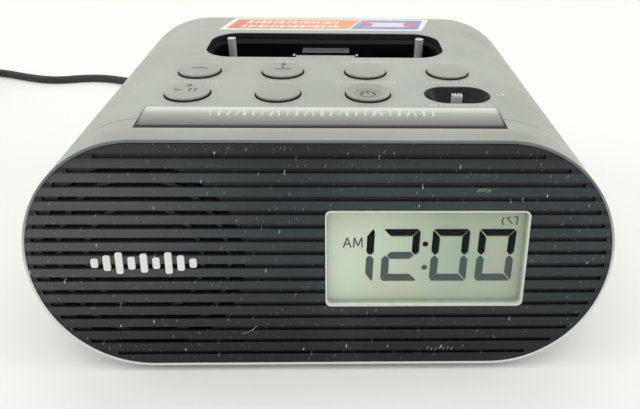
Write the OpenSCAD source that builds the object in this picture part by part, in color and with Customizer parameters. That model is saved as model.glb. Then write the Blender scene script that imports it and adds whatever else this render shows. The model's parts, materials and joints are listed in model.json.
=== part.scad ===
// Dock clock radio with an oval cabinet, a louvred front and a mains adaptor lead.
// Millimetres, +Z up, front towards -Y, origin on the table under the middle of the cabinet.

/* [Cabinet] */
// Overall width of the cabinet
body_w = 160; // [156:1:166]
// Height of the oval section, without the feet
body_h = 64; // [63:1:66]
// Depth of the cabinet along its base
body_d = 140; // [138:1:144]
// Wall thickness of the mouldings
wall = 2.4; // [2:0.2:2.6]
// Backward lean of the front face in degrees
lean = 13.3; // [12.5:0.1:14]
// Radius of the rounded rear edge
rear_r = 9; // [7:0.5:10]
// Height of the rubber feet under the base
foot_h = 2; // [1.5:0.5:3]

/* [Front panel] */
// Width of the grey rim left round the black panel
rim = 0.8; // [0.7:0.1:1.2]
// Spacing of the horizontal grooves
groove_pitch = 3.83; // [3.7:0.01:3.9]
// Height of one groove
groove_h = 1.1; // [0.9:0.1:1.2]
// Height of one sound slot
slot_h = 1.25; // [1:0.05:1.4]
// Radius of the circle that the sound slots fill
slot_circle_r = 27; // [25:0.5:27.5]
// Width of the display window
lcd_w = 55; // [54:0.1:56]
// Height of the display window
lcd_h = 28; // [27:0.1:28.5]

/* [Keys] */
// Diameter of the round keys
key_d = 13.2; // [13:0.1:14.2]
// Spacing of the key columns
key_pitch = 26.8; // [26:0.1:27.4]
// Travel of a key when pressed
key_travel = 0.9; // [0.6:0.1:0.9]
// Length of the snooze bar
snooze_w = 99; // [96:1:100]
// Travel of the slide switch to each side
switch_travel = 3.5; // [2.5:0.5:3.5]

/* [Dock] */
// Length of the dock opening
dock_w = 85; // [80:1:86]
// Front to back size of the dock opening
dock_d = 29.3; // [28:0.1:30]
// Depth of the dock well
dock_depth = 13.5; // [12:0.5:14]

/* [Power] */
// Diameter of the round power lead
cord_d = 4.2; // [4:0.1:4.4]

/* [Hidden] */
$fn = 64;

gap = 0.15;
mid_z = foot_h + body_h / 2;
top_z = foot_h + body_h;
half_c = body_w / 2 - body_h / 2;
front_y = -body_d / 2;
face_h = body_h / cos(lean);
face_mid = face_h / 2;
seam_t = 13.2;
seam_gap = 0.25;
panel_t = 2.6;
inner_top = top_z - wall;

// Display and speaker places on the leaning face
lcd_x = 28.4;
spk_x = -47.9;
groove_rows = 16;

// Rows of keys and the parts round them
row1_y = front_y + 46.8;
row2_y = front_y + 66;
snooze_y0 = front_y + 22.8;
snooze_y1 = front_y + 35.4;
snooze_y = front_y + 31.5;
stud_y = front_y + 56.4;
key_r = key_d / 2;
hole_r = key_r + 0.4;
board_top = top_z - 12;
board_t = 1.6;
tact_h = 5;
stem_bottom = board_top + tact_h + 1;
flange_z = inner_top - 0.3;
flange_t = 1.2;
dish_x = 1.5 * key_pitch;
dish_l = 19.7;
dish_w = 13.4;

// Dock places
dock_y = front_y + 95.7;
well_floor = top_z - dock_depth;
well_t = 1.6;
well_wall = 1.5;

// Board and compartment places
main_z = foot_h + 12;
cell_x = 24;
cell_y = 20;
post_x = 56;
posts_y = [-10, 50];
foot_x = 42;
feet_y = [-48, 54];
rod_y = 55;
rod_z = main_z + board_t + 9;
jack_x = -50;
jack_z = foot_h + 20;

// Lead, coil and adaptor places
plug_y = body_d / 2 + 0.4;
coil_x = -247.5;
coil_y = 147;
coil_r = 23.1;
coil_w = 13.1;
coil_h = 18.5;
tie_t = 0.6;
adaptor_x = coil_x - 18;
adaptor_y = coil_y - 74;
adaptor_l = 62;
adaptor_w = 30;
adaptor_h = 42;
cord_z = cord_d / 2;
plug_l = 16;
plug_relief_l = 18;
adaptor_relief_l = 20;
cord_route = [
    [jack_x, plug_y + plug_l + plug_relief_l - 0.5, jack_z],
    [jack_x, plug_y + 39.5, jack_z - 0.1], [jack_x - 1, plug_y + 47.4, jack_z - 2.4],
    [jack_x - 4.1, plug_y + 55.8, jack_z - 7.3], [jack_x - 9.2, plug_y + 63.2, 8.8],
    [jack_x - 15.9, plug_y + 69, cord_z + 2.2], [jack_x - 25, plug_y + 73.7, cord_z + 0.3],
    [-88, 148.2, cord_z], [-105, 153.4, cord_z], [-125.5, 159.8, cord_z],
    [-134.2, 162.6, cord_z], [-143, 163.8, cord_z], [-152.2, 162.9, cord_z],
    [-161, 160.9, cord_z], [-170.4, 160.7, cord_z], [-180.6, 163.4, cord_z],
    [-190.8, 167.2, cord_z], [-200, 170.9, cord_z], [-212, 173.6, cord_z],
    [coil_x + 21.5, coil_y + 27.45, cord_z + 0.1], [coil_x + 9.5, coil_y + 27.45, cord_z + 0.4],
    [coil_x, coil_y + 27.45, cord_z + tie_t]
];
tail_route = [
    [adaptor_x, adaptor_y + adaptor_l / 2 + adaptor_relief_l - 0.5, adaptor_h / 2],
    [adaptor_x, coil_y - 16, 20.9], [adaptor_x - 0.3, coil_y - 9, 20],
    [adaptor_x - 0.6, coil_y - 2, 18.5], [adaptor_x - 0.4, coil_y + 6, 17]
];

// ---------- shared shapes ----------

module end_profile(r, y0, y1, rr) {
    translate([0, y0]) square([r - rr, y1 - y0]);
    translate([0, y0]) square([r, y1 - rr - y0]);
    translate([r - rr, y1 - rr]) circle(rr, $fn = 96);
}

module side_profile(h, y0, y1, rr) {
    translate([y0, -h / 2]) square([y1 - rr - y0, h]);
    translate([y0, -h / 2 + rr]) square([y1 - y0, h - 2 * rr]);
    for (s = [-1, 1])
        translate([y1 - rr, s * (h / 2 - rr)]) circle(rr, $fn = 96);
}

// Oval section run front to back, with a rounded rear edge
module oval(inset, y0, y1, rr) {
    h = body_h - 2 * inset;
    translate([0, 0, mid_z]) {
        translate([-half_c, 0, 0]) rotate([90, 0, 90])
            linear_extrude(2 * half_c) side_profile(h, y0, y1, rr);
        for (s = [-1, 1])
            translate([s * half_c, 0, 0]) rotate([-90, 0, 0]) rotate([0, 0, -90 * s])
                rotate_extrude(angle = 180, $fn = 128) end_profile(h / 2, y0, y1, rr);
    }
}

// Plain oval prism with a square rear edge
module oval_prism(inset, y0, y1) {
    h = body_h - 2 * inset;
    translate([0, y0, mid_z]) rotate([-90, 0, 0]) linear_extrude(y1 - y0) {
        translate([-half_c, -h / 2]) square([2 * half_c, h]);
        for (s = [-1, 1]) translate([s * half_c, 0]) circle(h / 2, $fn = 128);
    }
}

// Frame of the leaning face: x right, y into the cabinet, z up the face
module face() {
    translate([0, front_y, foot_h]) rotate([-lean, 0, 0]) children();
}

// A slab parallel to the face, from depth a to depth b
module slab(a, b) {
    face() translate([-100, a, -30]) cube([200, b - a, 130]);
}

module rounded(w, d, r) {
    square([w - 2 * r, d], center = true);
    square([w, d - 2 * r], center = true);
    for (x = [-1, 1], y = [-1, 1])
        translate([x * (w / 2 - r), y * (d / 2 - r)]) circle(r);
}

module rounded_box(w, d, h, r) {
    linear_extrude(h) rounded(w, d, r);
}

// A block that lies flat on the face, rounded in its plane: depth a to b
module face_block(x, z, w, h, a, b, r) {
    face() translate([x, a, z]) rotate([-90, 0, 0]) rounded_box(w, h, b - a, r);
}

module slot_shape(l, w) {
    square([l - w, w], center = true);
    for (s = [-1, 1]) translate([s * (l - w) / 2, 0]) circle(w / 2);
}

// A stadium solid whose sides slope evenly from size l1 x w1 up to size l2 x w2
module sloped_stadium(l, w1, w2, h) {
    c = (l - w2) / 2;
    translate([-c, 0, 0]) rotate([90, 0, 90]) linear_extrude(2 * c)
        polygon([[-w1 / 2, 0], [w1 / 2, 0], [w2 / 2, h], [-w2 / 2, h]]);
    for (s = [-1, 1]) translate([s * c, 0, 0]) cylinder(h = h, r1 = w1 / 2, r2 = w2 / 2);
}

// A rounded block whose sides slope out from corner radius r1 to r2 over height h
module sloped_box(w, d, r1, r2, h) {
    g = r2 - r1;
    translate([-w / 2 + r2, 0, 0]) rotate([90, 0, 90]) linear_extrude(w - 2 * r2)
        polygon([[-d / 2 + g, 0], [d / 2 - g, 0], [d / 2, h], [-d / 2, h]]);
    translate([0, d / 2 - r2, 0]) rotate([90, 0, 0]) linear_extrude(d - 2 * r2)
        polygon([[-w / 2 + g, 0], [w / 2 - g, 0], [w / 2, h], [-w / 2, h]]);
    for (x = [-1, 1], y = [-1, 1])
        translate([x * (w / 2 - r2), y * (d / 2 - r2), 0]) cylinder(h = h, r1 = r1, r2 = r2);
}

// ---------- cabinet ----------

module snooze_notch() {
    translate([-snooze_w / 2 - 0.35, snooze_y0 - 0.2, inner_top - 6])
        cube([snooze_w + 0.7, snooze_y1 - snooze_y0 + 0.2, 20]);
}

module front_bezel() {
    color([0.33, 0.34, 0.34]) difference() {
        intersection() {
            oval_prism(0, front_y - 5, 0);
            slab(0, seam_t);
        }
        oval_prism(wall, front_y - 10, 10);
        difference() {
            oval_prism(rim - gap, front_y - 10, 10);
            slab(panel_t, 60);
        }
        snooze_notch();
    }
}

module cabinet_skin() {
    difference() {
        oval(0, front_y + 5, body_d / 2, rear_r);
        oval(wall, front_y - 10, body_d / 2 - wall, rear_r - wall);
        slab(-60, seam_t + seam_gap);
    }
}

module cabinet_top() {
    color([0.36, 0.37, 0.37]) difference() {
        union() {
            intersection() {
                cabinet_skin();
                translate([-100, -100, mid_z + 0.1]) cube([200, 200, 60]);
            }
            // posts for the case screws and for the key board
            intersection() {
                for (s = [-1, 1], y = posts_y)
                    translate([s * post_x, y, mid_z + 0.1]) cylinder(h = body_h / 2, d = 7.4);
                oval(wall / 2, front_y, body_d / 2 - wall, rear_r - wall);
            }
            for (i = [-1, 0, 1])
                translate([i * key_pitch, stud_y, board_top])
                    cylinder(h = inner_top + 1 - board_top, d = 6);
        }
        snooze_notch();
        for (k = [-1.5, -0.5, 0.5, 1.5]) {
            translate([k * key_pitch, row2_y, inner_top - 1]) cylinder(h = 10, r = hole_r);
            if (k < 1)
                translate([k * key_pitch, row1_y, inner_top - 1]) cylinder(h = 10, r = hole_r);
        }
        translate([dish_x, row1_y, inner_top - 1]) linear_extrude(10)
            slot_shape(dish_l + 0.3, dish_w + 0.3);
        translate([0, dock_y, inner_top - 1]) rounded_box(dock_w, dock_d, 10, 10);
        for (s = [-1, 1], y = posts_y)
            translate([s * post_x, y, mid_z - 1]) cylinder(h = 14, d = 3.1);
        for (i = [-1, 0, 1])
            translate([i * key_pitch, stud_y, board_top - 1]) cylinder(h = 7, d = 2.1);
    }
}

module cabinet_bottom() {
    color([0.30, 0.31, 0.31]) difference() {
        union() {
            intersection() {
                cabinet_skin();
                translate([-100, -100, -20]) cube([200, 200, mid_z + 19.9]);
            }
            for (s = [-1, 1], y = posts_y)
                translate([s * post_x, y, foot_h + 2]) cylinder(h = body_h / 2 - 2.1, d = 8);
            for (x = [-42, 42], y = [-18, 58])
                translate([x, y, foot_h + 1]) cylinder(h = main_z - foot_h - 1, d = 6);
            translate([cell_x, cell_y, foot_h + 1]) rounded_box(32, 32, 8.6, 3);
        }
        // battery compartment
        translate([cell_x, cell_y, foot_h - 1]) rounded_box(29.6, 29.6, 2.9, 2.2);
        translate([cell_x, cell_y, foot_h - 1]) rounded_box(26, 26, 9.2, 1);
        // screw holes, recessed heads
        for (s = [-1, 1], y = posts_y) {
            translate([s * post_x, y, -1]) cylinder(h = foot_h + 8, d = 6.2);
            translate([s * post_x, y, 0]) cylinder(h = body_h, d = 3.3);
        }
        for (x = [-42, 42], y = [-18, 58])
            translate([x, y, main_z - 6]) cylinder(h = 10, d = 2.1);
        for (s = [-1, 1], y = feet_y)
            translate([s * foot_x, y, -1]) cylinder(h = foot_h + 1.8, d = 12.4);
        // opening for the jack, square inside
        translate([jack_x, body_d / 2 - 10, jack_z]) rotate([-90, 0, 0]) cylinder(h = 20, d = 8);
    }
}

module rubber_feet() {
    color([0.06, 0.06, 0.06])
        for (s = [-1, 1], y = feet_y)
            translate([s * foot_x, y, 0]) {
                cylinder(h = 0.6, d1 = 11, d2 = 12);
                translate([0, 0, 0.6]) cylinder(h = foot_h + 0.2, d = 12);
            }
}

module case_screws() {
    color([0.16, 0.16, 0.17])
        for (s = [-1, 1], y = posts_y)
            translate([s * post_x, y, foot_h + 4.8]) {
                difference() {
                    cylinder(h = 2.2, d = 5.6);
                    for (a = [0, 90]) rotate([0, 0, a]) cube([3, 0.7, 2], center = true);
                }
                translate([0, 0, 2.2]) cylinder(h = 36, d = 2.9);
            }
}

module battery_door() {
    color([0.29, 0.30, 0.30]) difference() {
        union() {
            translate([cell_x, cell_y, foot_h]) rounded_box(29, 29, 1.8, 2);
            translate([cell_x, cell_y, foot_h + 1.8]) rounded_box(25, 25, 1, 0.8);
        }
        translate([cell_x, cell_y - 10, foot_h - 0.4]) linear_extrude(1) slot_shape(12, 4);
    }
}

module coin_cell() {
    color([0.75, 0.75, 0.76]) translate([cell_x, cell_y, foot_h + 3.4]) {
        cylinder(h = 0.4, d = 17.5);
        translate([0, 0, 0.4]) cylinder(h = 2.8, d = 20);
    }
}

module cell_contacts() {
    color([0.82, 0.80, 0.74]) {
        translate([cell_x - 4, cell_y - 4, foot_h + 6.6]) cube([8, 8, 0.5]);
        translate([cell_x - 2, cell_y - 2, foot_h + 7.1]) cube([4, 4, 1.1]);
        translate([cell_x + 10.2, cell_y - 3, foot_h + 3.6]) cube([0.5, 6, 4.6]);
        translate([cell_x + 10.2, cell_y - 3, foot_h + 7.6]) cube([2.8, 6, 0.6]);
    }
}

// ---------- front panel ----------

module groove_cut(n, x0, x1, depth) {
    face() translate([x0, -1, n - groove_h / 2]) cube([x1 - x0, 1 + depth, groove_h]);
}

// Height of groove i above the bottom of the face
function row_n(i) = face_mid + groove_pitch * (i - (groove_rows - 1) / 2);
// Half length of the level line of the panel at height n, less the plain margin m
function row_half(n, m) =
    let (r = body_h / 2 - rim - m, v = (n - face_mid) * cos(lean))
    half_c + sqrt(max(r * r - v * v, 0));

module ring(r, w) {
    difference() {
        circle(r + w / 2, $fn = 96);
        circle(r - w / 2, $fn = 96);
    }
}

// Slots through the grooves for the sound, bridged by two round ribs
module sound_slots() {
    face() translate([spk_x, 0, face_mid]) rotate([-90, 0, 0]) linear_extrude(panel_t + 1)
        intersection() {
            for (i = [1 : groove_rows - 2])
                translate([0, row_n(i) - face_mid]) square([60, slot_h], center = true);
            difference() {
                circle(slot_circle_r, $fn = 96);
                ring(slot_circle_r * 0.845, 1.2);
                ring(slot_circle_r * 0.578, 1.2);
            }
        }
}

module front_grille() {
    color([0.05, 0.055, 0.06]) difference() {
        intersection() {
            oval_prism(rim, front_y - 5, 0);
            slab(0, panel_t);
        }
        for (i = [0 : groove_rows - 1])
            groove_cut(row_n(i), -row_half(row_n(i), 1.5), row_half(row_n(i), 1.5), 0.8);
        sound_slots();
        face_block(lcd_x, face_mid, lcd_w + 0.3, lcd_h + 0.3, -1, panel_t + 1, 1.7);
    }
}

module grille_cloth() {
    color([0.02, 0.02, 0.02]) face() translate([spk_x, panel_t, face_mid]) rotate([-90, 0, 0])
        cylinder(h = 0.4, r = 28);
}

module badge_bars() {
    color([0.9, 0.9, 0.88])
        for (i = [-4 : 4]) {
            h = [2.6, 4.4, 6.2, 3.6, 5.4, 3.2, 6.2, 4.4, 2.6][i + 4];
            face_block(spk_x + i * 3.3, face_mid - 0.8, 1.9, h, -0.5, 0, 0.6);
        }
}

module lcd_lens() {
    color([0.85, 0.9, 0.86, 0.3])
        face_block(lcd_x, face_mid, lcd_w, lcd_h, -0.5, panel_t, 1.6);
}

module lcd_glass() {
    color([0.66, 0.71, 0.62])
        face_block(lcd_x, face_mid, lcd_w + 2, lcd_h + 2, panel_t + 0.1, panel_t + 1.5, 0.5);
}

module lcd_backlight() {
    color([0.86, 0.88, 0.84])
        face_block(lcd_x, face_mid, lcd_w + 2, lcd_h + 2, panel_t + 1.6, panel_t + 4.4, 0.5);
}

module lcd_holder() {
    color([0.12, 0.12, 0.12]) difference() {
        face_block(lcd_x, face_mid, lcd_w + 6, lcd_h + 6, panel_t, panel_t + 6, 1.5);
        face_block(lcd_x, face_mid, lcd_w + 2.2, lcd_h + 2.2, panel_t - 1, panel_t + 7, 0.6);
    }
}

module display_board() {
    color([0.12, 0.32, 0.16])
        face_block(lcd_x, face_mid, lcd_w + 6, lcd_h + 8, panel_t + 6, panel_t + 7.6, 1);
}

// ---------- speaker ----------

module on_speaker(d) {
    face() translate([spk_x, panel_t + d, face_mid]) rotate([-90, 0, 0]) children();
}

module speaker_basket() {
    color([0.20, 0.20, 0.21]) on_speaker(0.5) difference() {
        rotate_extrude($fn = 96)
            polygon([[27, 0], [28.4, 0], [28.4, 1.4], [26.6, 1.6], [16.6, 13.2], [16.6, 14.8],
                [8, 14.8], [8, 13.6], [14.6, 13.6], [15.2, 12.6], [25.4, 0.9], [26.8, 0.6]]);
        for (a = [0 : 60 : 300]) rotate([0, 0, a + 30])
            translate([18, -3.5, 4]) cube([6, 7, 7]);
    }
}

module speaker_surround() {
    color([0.04, 0.04, 0.04]) on_speaker(0.6) rotate_extrude($fn = 96)
        polygon([[21.6, 1.3], [22.6, 0.5], [24.2, 0.1], [25.4, 0.3], [25.3, 0.8], [24.2, 0.6],
            [22.9, 1], [22, 1.8]]);
}

module speaker_cone() {
    color([0.08, 0.08, 0.09]) on_speaker(0.8) rotate_extrude($fn = 96)
        polygon([[8, 8.4], [21.6, 1.8], [21.6, 2.2], [8, 8.8]]);
}

module speaker_cap() {
    color([0.10, 0.10, 0.11]) on_speaker(0.8) intersection() {
        difference() {
            translate([0, 0, 15.6]) sphere(r = 11.6, $fn = 96);
            translate([0, 0, 15.6]) sphere(r = 11.2, $fn = 96);
        }
        cylinder(h = 8, r = 7.9);
    }
}

module speaker_magnet() {
    color([0.45, 0.45, 0.47]) on_speaker(15.4) {
        cylinder(h = 2, d = 30);
        translate([0, 0, 2]) cylinder(h = 7, d = 32);
        translate([0, 0, 9]) cylinder(h = 1.6, d = 29);
    }
}

// ---------- keys ----------

module key_skirt(x, y) {
    translate([x, y, flange_z - flange_t]) cylinder(h = flange_t, r = key_r + 1.4);
    translate([x, y, stem_bottom]) cylinder(h = flange_z - stem_bottom, d = 4.6);
}

module key_cap(x, y) {
    intersection() {
        translate([x, y, flange_z - 0.5]) cylinder(h = 8, r = key_r);
        translate([x, y, top_z + 1.3 - 60]) sphere(r = 60, $fn = 200);
    }
}

module round_key(x, y) {
    color([0.37, 0.38, 0.38]) {
        key_cap(x, y);
        key_skirt(x, y);
    }
}

// Cuts a flat mark of the given outline into the top of a key
module engrave(x, y, z) {
    translate([x, y, z]) linear_extrude(4) children();
}

module minus_mark() {
    square([5, 0.8], center = true);
}

module plus_mark() {
    square([5, 0.8], center = true);
    square([0.8, 4.4], center = true);
}

module play_mark() {
    translate([-2.6, 0]) polygon([[-1.1, -1.3], [1.3, 0], [-1.1, 1.3]]);
    for (x = [0.9, 2.4]) translate([x, 0]) square([0.8, 2.6], center = true);
}

module power_mark() {
    difference() {
        circle(2.4);
        circle(1.8);
        translate([0, 2]) square([1.8, 2.4], center = true);
    }
    translate([0, 1.7]) square([0.6, 2.2], center = true);
}

module touch_dot(x, y) {
    color([0.37, 0.38, 0.38]) translate([x, y, top_z + 1]) cylinder(h = 0.8, d = 1.4);
}

module play_key() {
    color([0.37, 0.38, 0.38]) difference() {
        round_key(-1.5 * key_pitch, row1_y);
        engrave(-1.5 * key_pitch, row1_y - 0.3, top_z + 0.95) play_mark();
    }
    touch_dot(-1.5 * key_pitch, row1_y + 3.6);
}

module source_key() {
    round_key(-0.5 * key_pitch, row1_y);
}

module off_key() {
    color([0.37, 0.38, 0.38]) {
        difference() {
            key_cap(0.5 * key_pitch, row1_y);
            translate([0.5 * key_pitch, row1_y, top_z - 0.1 + 20]) sphere(r = 20, $fn = 120);
            engrave(0.5 * key_pitch, row1_y, top_z - 0.4) power_mark();
        }
        key_skirt(0.5 * key_pitch, row1_y);
    }
}

module minus_key() {
    color([0.37, 0.38, 0.38]) difference() {
        round_key(-1.5 * key_pitch, row2_y);
        engrave(-1.5 * key_pitch, row2_y, top_z + 0.95) minus_mark();
    }
}

module plus_key() {
    color([0.37, 0.38, 0.38]) difference() {
        round_key(-0.5 * key_pitch, row2_y);
        engrave(-0.5 * key_pitch, row2_y - 0.6, top_z + 0.95) plus_mark();
    }
    touch_dot(-0.5 * key_pitch, row2_y + 4);
}

module sleep_key() {
    round_key(0.5 * key_pitch, row2_y);
}

module clock_key() {
    round_key(1.5 * key_pitch, row2_y);
}

module snooze_bar() {
    color([0.40, 0.41, 0.41]) {
        y0 = snooze_y0 + 1;
        y1 = snooze_y1 - 0.35;
        translate([-snooze_w / 2, 0, 0]) rotate([90, 0, 90]) linear_extrude(snooze_w)
            intersection() {
                translate([y0, inner_top - 0.6]) square([y1 - y0, 6]);
                translate([y1 - 2.6, top_z + 0.8 - 28]) circle(28, $fn = 240);
                union() {
                    translate([y0 + 1.4, 0]) square([30, 100]);
                    square([400, 2 * (top_z - 1.6)], center = true);
                    translate([y0 + 1.4, top_z - 1.6]) circle(1.4, $fn = 48);
                }
            }
        // lip under the shell and the two stems
        translate([-snooze_w / 2 + 1, y0 - 1.2, inner_top - 1.8])
            cube([snooze_w - 2, y1 - y0 + 3.2, 1.3]);
        for (s = [-1, 1])
            translate([s * 34, snooze_y, stem_bottom]) cylinder(h = inner_top - 1 - stem_bottom, d = 4.6);
    }
}

module alarm_dish() {
    color([0.03, 0.03, 0.035]) translate([dish_x, row1_y, 0]) difference() {
        union() {
            translate([0, 0, inner_top - 2.6]) linear_extrude(wall + 2.5)
                slot_shape(dish_l, dish_w);
            translate([0, 0, inner_top - 1.2]) linear_extrude(1.1)
                slot_shape(dish_l + 2.6, dish_w + 2.6);
        }
        translate([0, 0, inner_top - 1.6]) sloped_stadium(dish_l, 6, dish_w - 0.8, wall + 1.61);
        translate([0, 0, inner_top - 4]) linear_extrude(6)
            slot_shape(2 * switch_travel + 5, 3);
    }
}

module alarm_slider() {
    color([0.78, 0.79, 0.77]) translate([dish_x, row1_y, 0]) {
        difference() {
            translate([-1.5, -1.1, inner_top - 1.2]) cube([3, 2.2, wall + 1.2]);
            for (x = [-1, 0, 1])
                translate([x * 0.9 - 0.2, -2, inner_top + wall - 0.5]) cube([0.4, 4, 1]);
        }
        translate([-1.1, -1.1, board_top + 3.2]) cube([2.2, 2.2, inner_top - board_top - 4.2]);
    }
}

module alarm_switch() {
    color([0.55, 0.56, 0.57]) translate([dish_x, row1_y, board_top]) difference() {
        translate([-8, -3.5, 0]) cube([16, 7, 4.6]);
        translate([-6, -1.6, 2.6]) cube([12, 3.2, 4]);
    }
}

module tact(x, y) {
    translate([x - 3, y - 3, board_top]) cube([6, 6, 3.5]);
    translate([x, y, board_top + 3.5]) cylinder(h = tact_h - 3.5, d = 3.4);
}

module tact_switches() {
    color([0.09, 0.09, 0.1]) {
        for (k = [-1.5, -0.5, 0.5, 1.5]) {
            tact(k * key_pitch, row2_y);
            if (k < 1) tact(k * key_pitch, row1_y);
        }
        for (s = [-1, 1]) tact(s * 34, snooze_y);
    }
}

module key_board() {
    color([0.12, 0.32, 0.16]) difference() {
        translate([-50, front_y + 27.5, board_top - board_t]) cube([100, 46.5, board_t]);
        for (i = [-1, 0, 1])
            translate([i * key_pitch, stud_y, board_top - 3]) cylinder(h = 6, d = 2.5);
    }
}

// ---------- boards ----------

module main_board() {
    color([0.12, 0.32, 0.16]) difference() {
        translate([-50, -23, main_z]) cube([100, 86, board_t]);
        for (x = [-42, 42], y = [-18, 58])
            translate([x, y, main_z - 1]) cylinder(h = 4, d = 2.5);
    }
}

module small_screw() {
    cylinder(h = 1.3, d = 4);
    translate([0, 0, -6]) cylinder(h = 6, d = 2);
}

module board_screws() {
    color([0.7, 0.7, 0.72]) {
        for (x = [-42, 42], y = [-18, 58])
            translate([x, y, main_z + board_t]) small_screw();
        for (i = [-1, 0, 1])
            translate([i * key_pitch, stud_y, board_top - board_t]) rotate([180, 0, 0]) small_screw();
    }
}

module tuner_can() {
    color([0.72, 0.73, 0.74]) translate([-20, 8, main_z + board_t]) cube([24, 20, 7]);
}

module processor() {
    color([0.05, 0.05, 0.05]) translate([16, -8, main_z + board_t]) cube([14, 14, 1.8]);
}

module amplifier() {
    color([0.05, 0.05, 0.05]) translate([-38, -4, main_z + board_t]) cube([10, 7, 2]);
}

module capacitors() {
    color([0.10, 0.12, 0.28])
        for (x = [-38, -26, 36])
            translate([x, 38, main_z + board_t]) cylinder(h = 11, d = 8);
}

module ferrite_rod() {
    color([0.14, 0.13, 0.13]) translate([-26, rod_y, rod_z]) rotate([0, 90, 0])
        cylinder(h = 52, d = 8);
}

module ferrite_winding() {
    color([0.72, 0.36, 0.16]) translate([0, rod_y, rod_z]) rotate([0, 90, 0]) difference() {
        cylinder(h = 18, d = 10);
        translate([0, 0, -1]) cylinder(h = 20, d = 8.1);
    }
}

module ferrite_clips() {
    color([0.85, 0.85, 0.83])
        for (x = [-20, 22])
            difference() {
                translate([x - 2.5, rod_y - 6, main_z + board_t]) cube([5, 12, 9]);
                translate([x - 3, rod_y, rod_z]) rotate([0, 90, 0]) cylinder(h = 6, d = 8.1);
            }
}

// ---------- dock ----------

module dock_well() {
    color([0.015, 0.015, 0.02]) translate([0, dock_y, 0]) difference() {
        union() {
            translate([0, 0, inner_top - 1.7]) rounded_box(dock_w + 5, dock_d + 5, 1.6, 11);
            translate([0, 0, well_floor - well_t])
                rounded_box(dock_w - 2 + 2 * well_wall, dock_d - 2 + 2 * well_wall,
                    inner_top - 1 - well_floor + well_t, 10);
            // studs that the small board is staked to
            for (x = [-17, 17], y = [-8, 8])
                translate([x, y, well_floor - 3.4]) cylinder(h = 3, d = 4);
        }
        translate([0, 0, well_floor]) rounded_box(dock_w - 2, dock_d - 2, 20, 9);
        translate([0, 0, inner_top - 1.5]) sloped_box(dock_w, dock_d, 9, 10, 1.5);
        translate([0, 0, well_floor - 5]) rounded_box(26.4, 8.4, 10, 1);
    }
}

module dock_connector() {
    color([0.78, 0.78, 0.8]) translate([0, dock_y, 0]) {
        translate([-13, -4, well_floor - 3.4]) cube([26, 8, 5.4]);
        translate([-10.9, -1.4, well_floor + 1.9]) cube([21.8, 2.8, 7.1]);
    }
}

module dock_latches() {
    color([0.9, 0.9, 0.9]) translate([0, dock_y, well_floor + 2])
        for (s = [-1, 1]) translate([s * 11.6, 0, 0]) {
            translate([-0.4, -1, 0]) cube([0.8, 2, 7]);
            translate([-0.4, -1, 5.8]) cube([0.8, 2, 1.8]);
        }
}

module dock_pad() {
    color([0.03, 0.03, 0.035]) translate([-9, dock_y + dock_d / 2 - 1 - 5.6, top_z - 8.8])
        cube([18, 5.6, 3.2]);
}

module dock_guides() {
    color([0.62, 0.63, 0.62])
        for (s = [-1, 1])
            translate([s * (dock_w / 2 - 6.6), dock_y + dock_d / 2 - 4.45, well_floor])
                cylinder(h = top_z - 0.8 - well_floor, d = 3.2);
}

module dock_board() {
    color([0.12, 0.32, 0.16]) translate([-20, dock_y - 11, well_floor - 5])
        cube([40, 22, 1.6]);
}

module dock_label() {
    color([0.92, 0.45, 0.25]) translate([0, 0, top_z]) linear_extrude(0.12)
        polygon([[-42.1, front_y + 113.9], [37.7, front_y + 113.9],
            [42.6, front_y + 130.7], [-37.7, front_y + 130.7]]);
}

// ---------- power ----------

module dc_jack() {
    color([0.07, 0.07, 0.07]) translate([jack_x, body_d / 2 - wall, jack_z]) difference() {
        union() {
            translate([-5, -13.2, -6.4]) cube([10, 13.1, 11.9]);
            translate([0, -2, 0]) rotate([-90, 0, 0]) cylinder(h = wall + 1.4, d = 7.6);
        }
        translate([0, -9, 0]) rotate([-90, 0, 0]) cylinder(h = 20, d = 5.8);
    }
}

module dc_plug() {
    color([0.04, 0.04, 0.04]) translate([jack_x, plug_y, jack_z]) rotate([-90, 0, 0]) {
        difference() {
            translate([0, 0, -9]) cylinder(h = 10, d = 5.5);
            translate([0, 0, -10]) cylinder(h = 8, d = 2.5);
        }
        cylinder(h = plug_l - 2, d = 9);
        translate([0, 0, plug_l - 2]) cylinder(h = 2, d1 = 9, d2 = 7.6);
    }
}

module plug_relief() {
    color([0.04, 0.04, 0.04]) translate([jack_x, plug_y + plug_l, jack_z]) rotate([-90, 0, 0])
        difference() {
            cylinder(h = plug_relief_l, d1 = 7.6, d2 = cord_d + 1);
            translate([0, 0, plug_relief_l - 0.5]) cylinder(h = 3, d = cord_d + 0.1);
        }
}

function unit(v) = v / max(norm(v), 1e-6);
// Smooth point at t along the span between route points i and i + 1
function route_at(p, i, t) =
    let (n = len(p) - 1,
        a = p[max(i - 1, 0)], b = p[i], c = p[min(i + 1, n)], d = p[min(i + 2, n)])
    0.5 * (2 * b + (c - a) * t + (2 * a - 5 * b + 4 * c - d) * t * t
        + (3 * b - a - 3 * c + d) * t * t * t);
function route_line(p, k) = concat(
    [for (i = [0 : len(p) - 2], j = [0 : k - 1]) route_at(p, i, j / k)], [p[len(p) - 1]]);
function along(l, i) = unit(l[min(i + 1, len(l) - 1)] - l[max(i - 1, 0)]);

module tube(points, k, d) {
    line = route_line(points, k);
    n = len(line);
    m = 8;
    pts = [for (i = [0 : n - 1], j = [0 : m - 1])
        let (t = along(line, i), a = unit(cross([0, 0, 1], t)), b = cross(t, a))
        line[i] + d / 2 / cos(180 / m) * (cos(45 * j + 22.5) * a + sin(45 * j + 22.5) * b)];
    sides = [for (i = [0 : n - 2], j = [0 : m - 1])
        [i * m + j, i * m + (j + 1) % m, (i + 1) * m + (j + 1) % m, (i + 1) * m + j]];
    ends = [[for (j = [m - 1 : -1 : 0]) j], [for (j = [0 : m - 1]) (n - 1) * m + j]];
    polyhedron(points = pts, faces = concat(sides, ends), convexity = 6);
}

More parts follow.
